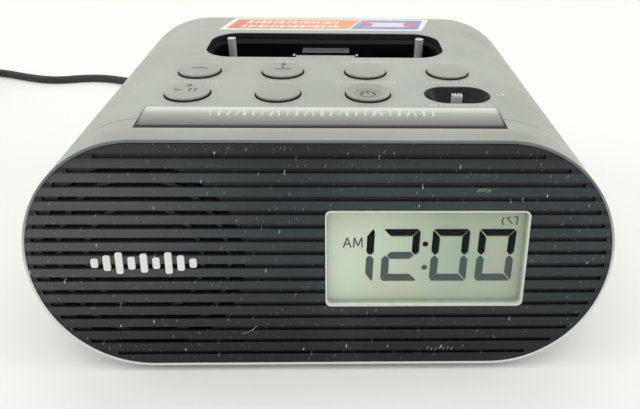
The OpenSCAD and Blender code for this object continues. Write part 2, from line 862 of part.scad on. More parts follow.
module cord() {
    color([0.05, 0.05, 0.05]) tube(cord_route, 3, cord_d);
}

module cord_coil() {
    color([0.05, 0.05, 0.05]) translate([coil_x, coil_y, tie_t + coil_h / 2])
        rotate_extrude($fn = 96) translate([coil_r, 0]) rounded(coil_w, coil_h, 1.5);
}

module cord_tie() {
    color([0.10, 0.10, 0.10]) translate([coil_x, coil_y, tie_t + coil_h / 2])
        rotate([0, 0, 40]) translate([coil_r, 2.5, 0]) rotate([90, 0, 0]) difference() {
            rounded_box(coil_w + 2 * tie_t + 0.4, coil_h + 2 * tie_t, 5, 2.2);
            translate([0, 0, -1]) rounded_box(coil_w + 0.4, coil_h, 7, 1.5);
        }
}

module cord_tail() {
    color([0.05, 0.05, 0.05]) tube(tail_route, 3, cord_d);
}

module adaptor_relief() {
    color([0.04, 0.04, 0.04]) translate([adaptor_x, adaptor_y + adaptor_l / 2, adaptor_h / 2])
        rotate([-90, 0, 0]) difference() {
            cylinder(h = adaptor_relief_l, d1 = 8.4, d2 = cord_d + 1);
            translate([0, 0, adaptor_relief_l - 0.5]) cylinder(h = 3, d = cord_d + 0.1);
        }
}

module power_adaptor() {
    color([0.05, 0.05, 0.05]) translate([adaptor_x - adaptor_w / 2, adaptor_y, adaptor_h / 2])
        rotate([90, 0, 90]) difference() {
            union() {
                sloped_box(adaptor_l, adaptor_h, 2.5, 4, 1.5);
                translate([0, 0, 1.5]) rounded_box(adaptor_l, adaptor_h, adaptor_w - 3, 4);
                translate([0, 0, adaptor_w]) mirror([0, 0, 1])
                    sloped_box(adaptor_l, adaptor_h, 2.5, 4, 1.5);
            }
            // parting line of the two halves
            translate([0, 0, 10]) difference() {
                rounded_box(adaptor_l + 2, adaptor_h + 2, 0.6, 5);
                translate([0, 0, -1]) rounded_box(adaptor_l - 1, adaptor_h - 1, 3, 3.5);
            }
            // shallow field for a rating plate
            translate([4, 0, adaptor_w - 0.4]) rounded_box(34, 24, 1, 1.5);
        }
}

module adaptor_blades() {
    color([0.8, 0.79, 0.72])
        for (s = [-1, 1])
            translate([adaptor_x - adaptor_w / 2 - 17, adaptor_y - 3.2, adaptor_h / 2 + s * 6.35 - 0.75])
                cube([17, 6.4, 1.5]);
}

// ---------- nodes ----------

front_bezel();
front_grille();
grille_cloth();
badge_bars();
lcd_lens();
lcd_glass();
lcd_backlight();
lcd_holder();
display_board();
cabinet_top();
cabinet_bottom();
rubber_feet();
case_screws();
battery_door();
coin_cell();
cell_contacts();
snooze_bar();
play_key();
source_key();
off_key();
minus_key();
plus_key();
sleep_key();
clock_key();
alarm_dish();
alarm_slider();
alarm_switch();
tact_switches();
key_board();
main_board();
board_screws();
tuner_can();
processor();
amplifier();
capacitors();
ferrite_rod();
ferrite_winding();
ferrite_clips();
dock_well();
dock_connector();
dock_latches();
dock_pad();
dock_guides();
dock_board();
dock_label();
speaker_basket();
speaker_surround();
speaker_cone();
speaker_cap();
speaker_magnet();
dc_jack();
dc_plug();
plug_relief();
cord();
cord_coil();
cord_tie();
cord_tail();
adaptor_relief();
power_adaptor();
adaptor_blades();
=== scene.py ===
"""Looks of a dock clock radio: camera, lead, display, printed marks, materials and light."""
import json
import math
import random

import bmesh
import bpy
from mathutils import Matrix, Vector


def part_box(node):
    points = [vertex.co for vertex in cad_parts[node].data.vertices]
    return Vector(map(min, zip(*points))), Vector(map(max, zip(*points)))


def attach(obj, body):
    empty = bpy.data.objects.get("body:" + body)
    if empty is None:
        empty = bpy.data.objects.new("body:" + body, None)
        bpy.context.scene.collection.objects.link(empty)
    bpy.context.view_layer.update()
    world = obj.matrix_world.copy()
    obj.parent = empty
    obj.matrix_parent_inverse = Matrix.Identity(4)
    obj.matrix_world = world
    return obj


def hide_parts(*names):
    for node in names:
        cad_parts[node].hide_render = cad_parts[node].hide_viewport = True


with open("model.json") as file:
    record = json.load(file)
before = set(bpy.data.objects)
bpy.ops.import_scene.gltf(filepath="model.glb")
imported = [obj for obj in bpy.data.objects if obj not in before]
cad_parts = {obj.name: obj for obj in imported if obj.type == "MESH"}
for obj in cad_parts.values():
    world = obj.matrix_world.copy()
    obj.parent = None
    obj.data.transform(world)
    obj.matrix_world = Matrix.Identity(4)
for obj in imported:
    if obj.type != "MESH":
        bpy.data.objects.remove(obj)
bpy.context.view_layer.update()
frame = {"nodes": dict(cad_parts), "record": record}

MM = 0.001
LEAN = math.radians(13.3)
FRONT_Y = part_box("front_bezel")[0].y / MM
BASE_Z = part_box("cabinet_bottom")[0].z / MM
TOP_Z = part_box("cabinet_top")[1].z / MM
FACE_MID = (TOP_Z - BASE_Z) / math.cos(LEAN) / 2
LCD_H = 28
SNOOZE_CROWN_R = 28
SNOOZE_CROWN_Y = FRONT_Y + 32.45
SNOOZE_CROWN_RISE = 0.8
KEY_PITCH = 26.8
GROOVE_PITCH = 3.83
ROW_FRONT = FRONT_Y + 46.8


# ---------- camera ----------

def add_camera():
    """The camera stands in front of the radio, above it, and looks down at it."""
    pitch, yaw, roll = 0.5569, 0.02856, 0.01521
    ahead = Vector((math.sin(yaw) * math.cos(pitch), math.cos(yaw) * math.cos(pitch), -math.sin(pitch)))
    level = Vector((math.cos(yaw), -math.sin(yaw), 0))
    upright = level.cross(ahead)
    right = math.cos(roll) * level + math.sin(roll) * upright
    up = -math.sin(roll) * level + math.cos(roll) * upright
    data = bpy.data.cameras.new("camera")
    data.sensor_width = 36
    data.lens = 33.75
    data.shift_x = -0.0466
    data.clip_start = 0.01
    data.clip_end = 30
    camera = bpy.data.objects.new("camera", data)
    bpy.context.scene.collection.objects.link(camera)
    turn = Matrix((right, up, -ahead)).transposed().to_4x4()
    camera.matrix_world = Matrix.Translation(Vector((3.63, -192.83, 132.83)) * MM) @ turn
    bpy.context.scene.camera = camera


# ---------- node materials ----------

def srgb(r, g, b):
    """Linear colour of an 8-bit screen colour."""
    def channel(c):
        c /= 255
        return c / 12.92 if c < 0.04045 else ((c + 0.055) / 1.055) ** 2.4
    return (channel(r), channel(g), channel(b), 1)


def shade(color, k):
    return tuple(min(c * k, 1) for c in color[:3]) + (1,)


class Look:
    """A Principled material that is built node by node from object coordinates."""

    def __init__(self, name, **sockets):
        self.mat = bpy.data.materials.new(name)
        self.mat.use_nodes = True
        self.tree = self.mat.node_tree
        self.bsdf = self.tree.nodes["Principled BSDF"]
        self.coord = self.add("ShaderNodeTexCoord").outputs["Object"]
        for name, value in sockets.items():
            self.bsdf.inputs[name.replace("_", " ")].default_value = value

    def add(self, kind, **settings):
        made = self.tree.nodes.new(kind)
        for name, value in settings.items():
            setattr(made, name, value)
        return made

    def feed(self, socket, value):
        if isinstance(value, bpy.types.NodeSocket):
            self.tree.links.new(value, socket)
        else:
            socket.default_value = value

    def link(self, name, value):
        self.feed(self.bsdf.inputs[name], value)

    def base(self):
        """What feeds the base colour so far."""
        return self.bsdf.inputs["Base Color"].links[0].from_socket

    def axes(self):
        """The X, Y and Z of the object coordinates."""
        split = self.add("ShaderNodeSeparateXYZ")
        self.feed(split.inputs[0], self.coord)
        return split.outputs["X"], split.outputs["Y"], split.outputs["Z"]

    def mapped(self, scale):
        made = self.add("ShaderNodeMapping")
        self.feed(made.inputs["Vector"], self.coord)
        made.inputs["Scale"].default_value = scale
        return made.outputs["Vector"]

    def noise(self, scale, detail=2, stretch=None):
        made = self.add("ShaderNodeTexNoise")
        self.feed(made.inputs["Vector"], self.mapped(stretch) if stretch else self.coord)
        made.inputs["Scale"].default_value = scale
        made.inputs["Detail"].default_value = detail
        return made.outputs["Fac"]

    def spread(self, value, low, high, to_low, to_high):
        made = self.add("ShaderNodeMapRange", interpolation_type="SMOOTHSTEP")
        for name, v in zip(("Value", "From Min", "From Max", "To Min", "To Max"),
                           (value, low, high, to_low, to_high)):
            self.feed(made.inputs[name], v)
        return made.outputs["Result"]

    def maths(self, operation, a, b=0.0):
        made = self.add("ShaderNodeMath", operation=operation)
        self.feed(made.inputs[0], a)
        self.feed(made.inputs[1], b)
        return made.outputs[0]

    def minus(self, a, b):
        return self.maths("SUBTRACT", a, b)

    def times(self, a, b):
        return self.maths("MULTIPLY", a, b)

    def apart(self, value, centre):
        """Distance of a value from a centre."""
        return self.maths("ABSOLUTE", self.minus(value, centre))

    def within(self, value, centre, reach):
        """1 where a value is less than reach from a centre, and 0 elsewhere."""
        return self.maths("LESS_THAN", self.apart(value, centre), reach)

    def mixed(self, factor, a, b):
        made = self.add("ShaderNodeMix", data_type="RGBA")
        self.feed(made.inputs["Factor"], factor)
        self.feed(made.inputs[6], a)
        self.feed(made.inputs[7], b)
        return made.outputs[2]

    def bump(self, height, distance, strength=1.0):
        made = self.add("ShaderNodeBump")
        made.inputs["Strength"].default_value = strength
        made.inputs["Distance"].default_value = distance
        self.feed(made.inputs["Height"], height)
        self.link("Normal", made.outputs["Normal"])


def moulded(name, color, rough, grain=0.00003, grain_scale=2600, mottle=0.08, **sockets):
    """Moulded plastic or rubber: a fine spark-eroded grain, faint mottling and uneven gloss."""
    look = Look(name, **sockets)
    cloud = look.noise(38, 4)
    speck = look.noise(1500, 3)
    dim, bright = shade(color, 1 - mottle), shade(color, 1 + mottle)
    base = look.mixed(look.spread(cloud, 0.3, 0.7, 0, 1), dim, bright)
    base = look.mixed(look.spread(speck, 0.55, 0.75, 0, 0.25), base, shade(color, 1.35))
    look.link("Base Color", base)
    look.link("Roughness", look.spread(look.noise(70, 5), 0.3, 0.7, rough - 0.05, rough + 0.06))
    look.bump(look.noise(grain_scale, 2), grain, 0.7)
    return look


def key_look(color):
    """Key plastic with painted shade down in the gaps; the snooze bar has a painted highlight along its rear
    and painted shade on its front slope, down its front edge and at its ends.
    """
    look = moulded("key", color, 0.44, mottle=0.04)
    base = look.base()
    x, y, z = look.axes()
    back = look.minus(y, FRONT_Y * MM)
    height = look.minus(z, TOP_Z * MM)
    # painted shade: the near-black put down in the gaps round the keys and the snooze bar
    gap_shade = srgb(14, 15, 15)
    # round keys: painted shade below their rims, but not in the hollow of the off key
    side = look.minus(x, KEY_PITCH / 2 * MM)
    ahead = look.minus(y, ROW_FRONT * MM)
    radius = look.maths("SQRT", look.maths("ADD", look.times(side, side), look.times(ahead, ahead)))
    hollow = look.spread(radius, 0.0055, 0.0060, 0.8, 0)
    sunk = look.minus(look.spread(height, 0.00035, 0.0006, 1, 0), hollow)
    keys = look.mixed(look.maths("MAXIMUM", sunk, 0), base, gap_shade)
    # snooze bar: painted shade on its front slope and a painted highlight towards its rear, painted shade
    # down its front edge and at its ends
    snooze = look.mixed(look.spread(back, 0.0245, 0.0300, 0, 1), shade(color, 0.5), shade(color, 0.95))
    snooze = look.mixed(look.spread(back, 0.0290, 0.0345, 0, 1), snooze, shade(color, 2.0))
    snooze = look.mixed(look.spread(height, -0.00035, -0.0001, 0, 1), gap_shade, snooze)
    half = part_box("snooze_bar")[1].x
    end_shade = look.spread(look.maths("ABSOLUTE", x), half - 0.0008, half - 0.0002, 0, 0.65)
    snooze = look.mixed(end_shade, snooze, gap_shade)
    behind_bar = look.spread(back, 0.0366, 0.0368, 0, 1)
    look.link("Base Color", look.mixed(behind_bar, snooze, keys))
    return look


def face_depth(look, y, z):
    """How far back a point lies from the plane of the leaning front."""
    rise = look.minus(z, BASE_Z * MM)
    return look.minus(look.minus(y, FRONT_Y * MM), look.times(rise, math.tan(LEAN)))


def cabinet_look(color):
    """Cabinet plastic: painted shade on the shell's edge down in the dock opening and in a band along the
    front of the top, and a painted highlight low on the front rim.
    """
    look = moulded("cabinet", color, 0.46, mottle=0.05)
    x, y, z = look.axes()
    low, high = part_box("dock_well")
    # painted shade: the shell's edge down in the dock opening is painted near-black
    opening = look.times(look.within(x, 0, 0.0428), look.within(y, (low.y + high.y) / 2, 0.01495))
    below = look.maths("LESS_THAN", z, (TOP_Z - 0.25) * MM)
    base = look.mixed(look.times(opening, below), look.base(), srgb(24, 24, 24))
    depth = face_depth(look, y, z)
    # painted shade: a darker band of the same grey along the front of the top
    band_shade = look.times(look.spread(depth, 0.004, 0.0085, 1, 0), look.spread(z, 0.0635, 0.0655, 0, 0.3))
    base = look.mixed(band_shade, base, shade(color, 0.45))
    # painted highlight: the front rim is painted pale low down and darker higher up
    rim = look.spread(depth, 0.0002, 0.0006, 1, 0)
    rim_highlight = look.mixed(look.spread(z, 0.022, 0.058, 0, 1), srgb(214, 221, 214), srgb(104, 111, 107))
    look.link("Base Color", look.mixed(rim, base, rim_highlight))
    return look


def well_look():
    """Polished black of the dock well and the dish, with a painted reflection greying the top of the small
    pad.
    """
    look = moulded("gloss_black", srgb(8, 8, 9), 0.34, grain=0.000006, mottle=0.15,
                   Specular_IOR_Level=0.25)
    x, y, z = look.axes()
    # painted reflection: the top face of the small pad is painted grey
    pad_reflection = look.times(look.within(z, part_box("dock_pad")[1].z, 0.0001), look.within(x, 0, 0.0092))
    look.link("Base Color", look.mixed(pad_reflection, look.base(), srgb(96, 100, 98)))
    return look


def metal(name, color, rough, brushed=None, scale=900):
    """Plated or bare metal with fine drawing lines along one axis."""
    look = Look(name, Metallic=1.0)
    lines = look.noise(scale, 3, brushed or (1, 1, 1))
    drawn = look.spread(lines, 0.3, 0.7, 0, 1)
    look.link("Base Color", look.mixed(drawn, shade(color, 0.86), shade(color, 1.08)))
    look.link("Roughness", look.spread(look.noise(120, 4), 0.3, 0.7, rough - 0.06, rough + 0.1))
    look.bump(lines, 0.00002, 0.6)
    return look


def lint(look, x, z, across, upward, lean, keep, most):
    """Sparse pale ticks, one to a cell at most: the cells per metre, their lean and how many are kept."""
    join = look.add("ShaderNodeCombineXYZ")
    slanted = look.minus(x, look.times(z, lean))
    look.feed(join.inputs["X"], look.times(slanted, across))
    look.feed(join.inputs["Y"], look.times(z, upward))
    cells = look.add("ShaderNodeTexVoronoi", voronoi_dimensions="2D")
    look.feed(cells.inputs["Vector"], join.outputs[0])
    cells.inputs["Scale"].default_value = 1
    pick = look.add("ShaderNodeSeparateColor")
    look.feed(pick.inputs[0], cells.outputs["Color"])
    near = look.spread(cells.outputs["Distance"], 0.03, 0.07, 1, 0)
    return look.times(near, look.spread(pick.outputs[0], keep, 1.0, 0, most))


def panel_look():
    """Black front moulding: soft ribs with painted shade in their grooves, a painted highlight at the left,
    painted shade low down and along the top edge, with lint ticks and a dusty haze.
    """
    look = moulded("panel_black", srgb(43, 52, 56), 0.42, mottle=0.2, Specular_IOR_Level=0.35)
    x, y, z = look.axes()
    # painted highlight: lighter towards the left
    base = look.mixed(look.spread(x, -0.075, 0.0, 0.6, 0), look.base(), srgb(88, 86, 85))
    # painted shade: darker low down and along the top edge
    base = look.mixed(look.spread(z, 0.006, 0.036, 0.92, 0), base, srgb(4, 11, 12))
    base = look.mixed(look.spread(z, 0.056, 0.064, 0, 0.8), base, srgb(18, 20, 21))
    # painted shade towards the groove floors; rows is the height counted in grooves
    up = look.minus(z, (BASE_Z + FACE_MID * math.cos(LEAN)) * MM)
    rows = look.maths("ADD", look.times(up, 1 / (GROOVE_PITCH * MM * math.cos(LEAN))), 101)
    away = look.apart(look.maths("FRACT", rows), 0.5)
    base = look.mixed(look.spread(away, 0.13, 0.27, 0.93, 0), base, srgb(6, 9, 10))
    ticks = lint(look, x, z, 330, 100, 0.1, 0.76, 0.85)
    for layer in ((420, 130, 0.3, 0.5, 0.36), (560, 170, -0.1, 0.4, 0.3), (1100, 300, 0.05, 0.2, 0.2)):
        ticks = look.maths("MAXIMUM", ticks, lint(look, x, z, *layer))
    haze = look.spread(look.noise(26, 6, (1, 1, 0.6)), 0.45, 0.8, 0, 0.04)
    base = look.mixed(haze, base, srgb(150, 152, 150))
    look.link("Base Color", look.mixed(ticks, base, srgb(190, 196, 194)))
    return look


def cloth_look():
    look = Look("cloth", Roughness=0.9)
    weave = look.noise(2400, 1)
    threads = look.spread(weave, 0.4, 0.6, 0, 1)
    look.link("Base Color", look.mixed(threads, (0.004, 0.004, 0.004, 1), (0.02, 0.02, 0.02, 1)))
    look.bump(weave, 0.0001)
    return look


def lcd_look():
    """The grey-green reflector of the display, with painted light making it lighter at its left and greyer
    low down, and greener in the middle.
    """
    look = Look("lcd", Roughness=0.5)
    x, y, z = look.axes()
    # painted light: lighter at the left, darker to the right
    across = look.spread(x, 0.0, 0.042, 0, 1)
    base = look.mixed(across, srgb(222, 233, 214), srgb(170, 186, 166))
    # painted light: a greyer tone low down
    low = look.spread(z, 0.018, 0.032, 0.45, 0)
    base = look.mixed(low, base, srgb(196, 204, 188))
    warm = look.spread(look.noise(34, 2), 0.45, 0.7, 0, 0.5)
    base = look.mixed(warm, base, srgb(200, 198, 172))
    look.link("Base Color", base)
    look.bump(look.noise(5200, 1), 0.00001, 0.4)
    return look


def window_look():
    """Clear moulded window: nearly all see-through, with a soft polished gloss."""
    look = Look("window", Roughness=0.12, Alpha=0.02, IOR=1.45, Specular_IOR_Level=0.15)
    look.link("Base Color", look.mixed(look.noise(60, 3), (0.3, 0.34, 0.3, 1), (0.36, 0.4, 0.36, 1)))
    look.bump(look.noise(240, 2), 0.00002, 0.15)
    return look


def board_look():
    look = Look("board", Roughness=0.35)
    tracks = look.add("ShaderNodeTexBrick")
    look.feed(tracks.inputs["Vector"], look.mapped((420, 420, 420)))
    tracks.inputs["Color1"].default_value = srgb(26, 92, 48)
    tracks.inputs["Color2"].default_value = srgb(22, 80, 42)
    tracks.inputs["Mortar"].default_value = srgb(48, 124, 66)
    worn = look.spread(look.noise(300, 3), 0.4, 0.7, 0, 0.4)
    look.link("Base Color", look.mixed(worn, tracks.outputs["Color"], srgb(20, 70, 40)))
    look.bump(tracks.outputs["Fac"], 0.00003, 0.5)
    return look


def label_look(name, left, right, x0, x1):
    """Printed film whose ink runs from one colour to the other along the label."""
    look = Look(name, Roughness=0.38, Coat_Weight=0.3, Coat_Roughness=0.25)
    x, y, z = look.axes()
    ink = look.mixed(look.spread(x, x0 * MM, x1 * MM, 0, 1), left, right)
    paper = look.spread(look.noise(900, 3), 0.5, 0.8, 0, 0.2)
    look.link("Base Color", look.mixed(paper, ink, srgb(240, 236, 230)))
    look.bump(look.noise(400, 3), 0.00002, 0.3)
    return look


def edge_look():
    """Side walls of the window: painted bright as a highlight at the front edge, with a painted reflection of
    the display's own grey deeper down.
    """
    look = moulded("window_edge", srgb(228, 236, 226), 0.3, grain=0.000004, mottle=0.04)
    x, y, z = look.axes()
    deep = look.spread(face_depth(look, y, z), 0.0002, 0.0012, 0, 0.9)
    look.link("Base Color", look.mixed(deep, look.base(), srgb(164, 177, 162)))
    return look.mat


def film(name, color, rough=0.35, alpha=1.0, mottle=0.04, **sockets):
    """A thin printed or moulded layer of one colour."""
    look = moulded(name, color, rough, grain=0.000004, mottle=mottle, **sockets)
    look.bsdf.inputs["Alpha"].default_value = alpha
    return look.mat


def make_looks():
    grey = srgb(163, 167, 158)
    looks = {
        "cabinet": cabinet_look(grey),
        "lower_shell": moulded("lower_shell", shade(grey, 0.86), 0.5),
        "key": key_look(shade(grey, 0.86)),
        "panel_black": panel_look(),
        "gloss_black": well_look(),
        "soft_black": moulded("soft_black", srgb(38, 38, 37), 0.55, mottle=0.1),
        "cloth": cloth_look(),
        "badge": moulded("badge", srgb(226, 226, 222), 0.3, grain=0.00001, mottle=0.03, Coat_Weight=0.3),
        "window": window_look(),
        "lcd": lcd_look(),
        "diffuser": moulded("diffuser", srgb(214, 218, 210), 0.35, mottle=0.03),
        "dark_plastic": moulded("dark_plastic", srgb(44, 45, 45), 0.4),
        "board": board_look(),
        "steel": metal("steel", (0.62, 0.62, 0.64, 1), 0.3, (1, 8, 1)),
        "dark_steel": metal("dark_steel", (0.12, 0.12, 0.13, 1), 0.42),
        "brass": metal("brass", (0.74, 0.66, 0.46, 1), 0.28, (1, 1, 8)),
        "lever": moulded("lever", srgb(206, 208, 203), 0.4, mottle=0.05),
        "copper": metal("copper", (0.66, 0.30, 0.13, 1), 0.25, (20, 1, 1)),
        "ferrite": moulded("ferrite", srgb(60, 57, 57), 0.6, mottle=0.2),
        "capsleeve": moulded("capsleeve", srgb(40, 48, 96), 0.25, mottle=0.04),
        "white_plastic": moulded("white_plastic", srgb(222, 222, 218), 0.4, mottle=0.03),
        "guide_grey": moulded("guide_grey", srgb(186, 188, 184), 0.24, grain=0.00001, mottle=0.05,
                              Coat_Weight=0.5),
        "label": label_look("label", srgb(230, 226, 214), srgb(226, 224, 216), -44, 44),
        "cone": moulded("cone", srgb(44, 44, 46), 0.8, grain=0.00008, mottle=0.2),
    }
    return {name: look.mat for name, look in looks.items()}


def dress_cad_nodes():
    for part in frame["record"]["subparts"]:
        node = frame["nodes"][part["node"]]
        mat = LOOKS[part["material_slot"]]
        if not node.data.materials:
            node.data.materials.append(mat)
        for place in node.material_slots:
            place.material = mat


# ---------- mesh helpers ----------

class Mesher:
    """Collects closed solids, in millimetres, into one piece."""

    def __init__(self):
        self.verts = []
        self.faces = []

    def loft(self, rings, closed=True):
        """A skin through rings of points, with a cap on the first and the last one."""
        start = len(self.verts)
        n = len(rings[0])
        for ring in rings:
            self.verts += [Vector(p) for p in ring]
        for k in range(len(rings) - 1):
            a, b = start + k * n, start + (k + 1) * n
            for i in range(n):
                j = (i + 1) % n
                self.faces.append((a + i, a + j, b + j, b + i))
        if closed:
            self.faces.append(tuple(range(start + n - 1, start - 1, -1)))
            last = start + (len(rings) - 1) * n
            self.faces.append(tuple(range(last, last + n)))
        return self

    def prism(self, outline, place, low, high):
        """An outline of (u, v) points, raised from height low to height high by place(u, v, h)."""
        return self.loft([[place(u, v, low) for u, v in outline], [place(u, v, high) for u, v in outline]])

    def lathe(self, profile, place, steps=32):
        """Rings of (radius, height) round the axis of place(u, v, h)."""
        turns = [2 * math.pi * k / steps for k in range(steps)]
        return self.loft([[place(r * math.cos(a), r * math.sin(a), h) for a in turns] for r, h in profile])

    def tube_wall(self, outer, inner, place, low, high):
        """A wall between two outlines with the same number of points."""
        start = len(self.verts)
        n = len(outer)
        for line, h in ((outer, low), (outer, high), (inner, high), (inner, low)):
            self.verts += [Vector(place(u, v, h)) for u, v in line]
        for k in range(4):
            a, b = start + k * n, start + (k + 1) % 4 * n
            for i in range(n):
                j = (i + 1) % n
                self.faces.append((a + i, a + j, b + j, b + i))
        return self

    def piece(self, name, mat, body="cabinet", slot=None):
        mesh = bpy.data.meshes.new(name)
        mesh.from_pydata([v * MM for v in self.verts], [], self.faces)
        mesh.update()
        fix_normals(mesh)
        mesh.materials.append(mat)
        obj = bpy.data.objects.new(name, mesh)
        bpy.context.scene.collection.objects.link(obj)
        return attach(obj, body)


def fix_normals(mesh):
    """Turns every face outwards."""
    work = bmesh.new()
    work.from_mesh(mesh)
    bmesh.ops.recalc_face_normals(work, faces=work.faces)
    work.to_mesh(mesh)
    work.free()


def rounded(cx, cy, w, h, r, steps=6):
    """Outline of a rectangle with round corners."""
    points = []
    reach_x, reach_y = w / 2 - r, h / 2 - r
    for sx, sy, start in ((1, 1, 0), (-1, 1, 90), (-1, -1, 180), (1, -1, 270)):
        for k in range(steps + 1):
            a = math.radians(start + 90 * k / steps)
            points.append((cx + sx * reach_x + r * math.cos(a), cy + sy * reach_y + r * math.sin(a)))
    return points


def bar(u0, v0, u1, v1, width):
    """Outline of a straight stroke from one point to another."""
    d = Vector((u1 - u0, v1 - v0)).normalized() * (width / 2)
    return [(u0 + d.y, v0 - d.x), (u1 + d.y, v1 - d.x), (u1 - d.y, v1 + d.x), (u0 - d.y, v0 + d.x)]


def on_face(x, n, out=0.0):
    """A point of the leaning front: x to the right, n up the face, out towards the viewer."""
    y = FRONT_Y + n * math.sin(LEAN) - out * math.cos(LEAN)
    return Vector((x, y, BASE_Z + n * math.cos(LEAN) + out * math.sin(LEAN)))


def on_top(x, y, out=0.0):
    return Vector((x, y, TOP_Z + out))


# ---------- lead ----------

LEAD_D = 4.2
PITCH = 4.35
COIL = Vector((-247.5, 147))
COIL_R = 23.1
COIL_LOW = 0.6 + LEAD_D / 2
LAYER_TURNS = 41 / 12
ADAPTOR_X = COIL.x - 18
ADAPTOR_END = COIL.y - 43
JACK = Vector((-50, 70.4, 22))
FLOOR_ROUTE = [
    (-50, 103.9, 22), (-50, 109.9, 21.9), (-51, 117.8, 19.6), (-54.1, 126.2, 14.7), (-59.2, 133.6, 8.8),
    (-65.9, 139.4, 4.3), (-75, 144.1, 2.4), (-88, 148.2, 2.1), (-105, 153.4, 2.1), (-125.5, 159.8, 2.1),
    (-134.2, 162.6, 2.1), (-143, 163.8, 2.1), (-152.2, 162.9, 2.1), (-161, 160.9, 2.1),
    (-170.4, 160.7, 2.1), (-180.6, 163.4, 2.1), (-190.8, 167.2, 2.1), (-200, 170.9, 2.1), (-212, 173.6, 2.1),
    (-226, 174.45, 2.2), (-238, 174.45, 2.5),
]
RISE_ROUTE = [
    (-18.65, -5, 17.45), (-18.4, -10, 18.9), (-18.15, -15, 20.4), (-18, -20, 21), (-18, -23.5, 21),
]


def smooth_step(t):
    t = min(max(t, 0), 1)
    return t * t * (3 - 2 * t)


def coil_point(turn):
    """Centre of the wound lead after so many turns: up, down and up again in three layers."""
    change = 1 / 6
    first = smooth_step((turn - LAYER_TURNS + change) / (2 * change))
    second = smooth_step((turn - 2 * LAYER_TURNS + change) / (2 * change))
    radius = COIL_R + PITCH * (1 - first - second)
    low, high = COIL_LOW, COIL_LOW + PITCH * (LAYER_TURNS - change)
    if turn < LAYER_TURNS:
        rise = turn / (LAYER_TURNS - change)
    elif turn < 2 * LAYER_TURNS:
        rise = 1 - (turn - LAYER_TURNS - change) / (LAYER_TURNS - 2 * change)
    else:
        rise = (turn - 2 * LAYER_TURNS - change) / (LAYER_TURNS - change)
    angle = math.radians(90 + 360 * turn)
    z = low + (high - low) * min(max(rise, 0), 1)
    return (COIL.x + radius * math.cos(angle), COIL.y + radius * math.sin(angle), z)


def add_lead():
    """One lead, from the strain relief of the plug over the floor and the coil to the adaptor."""
    per_turn = 16
    count = round(3 * LAYER_TURNS * per_turn)
    points = FLOOR_ROUTE + [coil_point(k / per_turn) for k in range(count + 1)]
    points += [(COIL.x + x, COIL.y + y, z) for x, y, z in RISE_ROUTE]
    curve = bpy.data.curves.new("lead", "CURVE")
    curve.dimensions = "3D"
    curve.resolution_u = 5
    curve.bevel_depth = LEAD_D / 2 * MM
    curve.bevel_resolution = 4
    curve.use_fill_caps = True
    spline = curve.splines.new("BEZIER")
    spline.bezier_points.add(len(points) - 1)
    for place, point in zip(spline.bezier_points, points):
        place.co = Vector(point) * MM
        place.handle_left_type = place.handle_right_type = "AUTO"
    curve.materials.append(LOOKS["soft_black"])
    lead = bpy.data.objects.new("lead", curve)
    bpy.context.scene.collection.objects.link(lead)
    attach(lead, "cabinet")
    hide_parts("cord", "cord_coil", "cord_tail")
    return lead


def relief_profile(length, wide, narrow, ribs):
    """A tapered sleeve cut by ring grooves, as (radius, height) pairs."""
    profile = [(wide - 0.3, 0.0), (wide, 0.3)]
    for k in range(ribs):
        a = 1.2 + (length - 3) * k / ribs
        b = a + (length - 3) / ribs * 0.45
        for h, sunk in ((a, 0), (a + 0.15, 0.55), (b - 0.15, 0.55), (b, 0)):
            r = wide + (narrow - wide) * h / length
            profile.append((r - sunk, h))
    profile += [(narrow + 0.1, length - 0.5), (narrow - 0.15, length)]
    return profile


def add_reliefs():
    """Ribbed strain reliefs at the plug and at the adaptor."""
    def behind_plug(u, v, h):
        return Vector((JACK.x + u, JACK.y + 16 + h, JACK.z + v))

    def behind_adaptor(u, v, h):
        return Vector((ADAPTOR_X + u, ADAPTOR_END + h, 21 + v))

    plug = Mesher().lathe(relief_profile(17.6, 3.8, 2.55, 6), behind_plug)
    plug = plug.piece("plug_strain_relief", LOOKS["soft_black"], slot="soft_black")
    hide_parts("plug_relief")
    house = Mesher().lathe(relief_profile(19.6, 4.2, 2.55, 7), behind_adaptor)
    house = house.piece("adaptor_strain_relief", LOOKS["soft_black"], slot="soft_black")
    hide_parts("adaptor_relief")
    return [plug, house]


# ---------- display ----------

DIGIT_W = 10.1
DIGIT_H = 15.3
STROKE = 1.9


def segment(name):
    """Outline of one segment of a digit, from its lower left corner."""
    w, h, t = DIGIT_W, DIGIT_H, STROKE
    g, c, m = 0.16, 0.45, h / 2
    top = [(c + g, h), (w - c - g, h), (w - 0.18 - g, h - 0.2),
           (w - t - g, h - t), (t + g, h - t), (0.18 + g, h - 0.2)]
    left = [(0.05, h - 0.42), (0.3, h - 0.5), (t - 0.1, h - t - g - 0.1), (t, h - t - 0.5), (t, m + 1.0),
            (t * 0.62, m + 0.28), (t * 0.42, m + 0.28), (0, m + 1.1), (0, h - 0.9)]
    middle = [(t * 0.8, m), (t + 0.5, m + t * 0.48), (w - t - 0.3, m + t * 0.48),
              (w - t * 0.75, m + 0.1), (w - t * 0.9, m - 0.25), (w - t - 0.9, m - t * 0.5),
              (t + 0.2, m - t * 0.5), (t * 0.8, m - 0.3)]

    def mirrored(line, x=False, y=False):
        return [(w - u if x else u, h - v if y else v) for u, v in line]
    return {"a": top, "d": mirrored(top, y=True), "g": middle, "f": left, "b": mirrored(left, x=True),
            "e": mirrored(left, y=True), "c": mirrored(left, x=True, y=True)}[name]


def one_segments():
    """The two segments of the first digit, cut to slanting points."""
    t, h = STROKE, DIGIT_H
    upper = [(0, 8.6), (0.5, 8.0), (1.3, 7.95), (t, 8.6), (t, h - 0.6), (t - 0.35, h), (0, h - 2.1)]
    lower = [(u, h - v) for u, v in upper]
    return upper, lower


